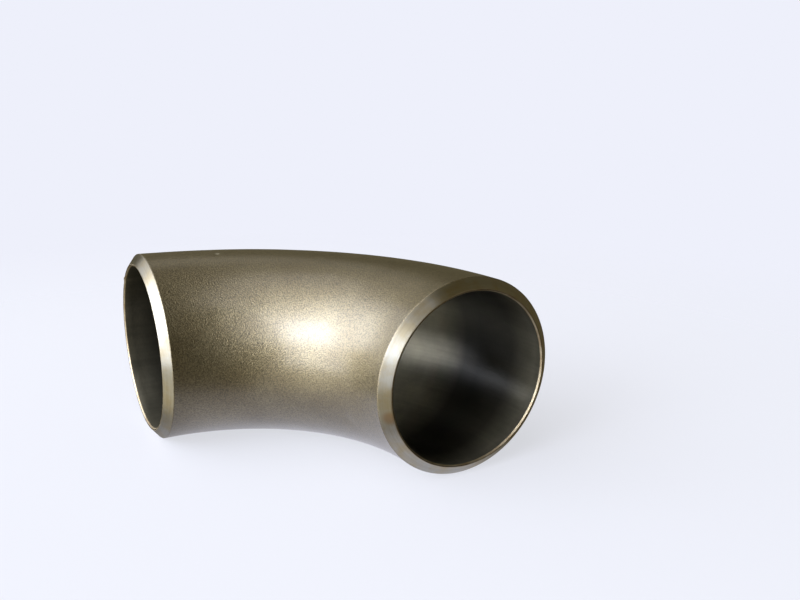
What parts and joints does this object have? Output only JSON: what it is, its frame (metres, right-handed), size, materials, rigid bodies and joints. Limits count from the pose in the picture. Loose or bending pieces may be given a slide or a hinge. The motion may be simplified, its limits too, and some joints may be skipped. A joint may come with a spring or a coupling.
{
  "type": "pipe elbow",
  "caption": "Seamless 90 degree long-radius butt-weld pipe elbow in carbon steel, round bore, both ends bevelled for welding.",
  "frame": {"origin": "centre of end A's root face, on the axis of its bore", "axes": "the bend lies in the XY plane; end A faces -Y, end B faces -X, +Z is square to the bend plane and up when the elbow lies flat"},
  "size_m": [0.1063, 0.1063, 0.0602],
  "materials": {
    "blasted_steel": "hot-formed carbon steel, shot-blasted to a dull olive grey; bevels machined bright, bore dark with forming scale"
  },
  "bodies": {
    "root": {"elbow_body": "blasted_steel"}
  },
  "joints": []
}
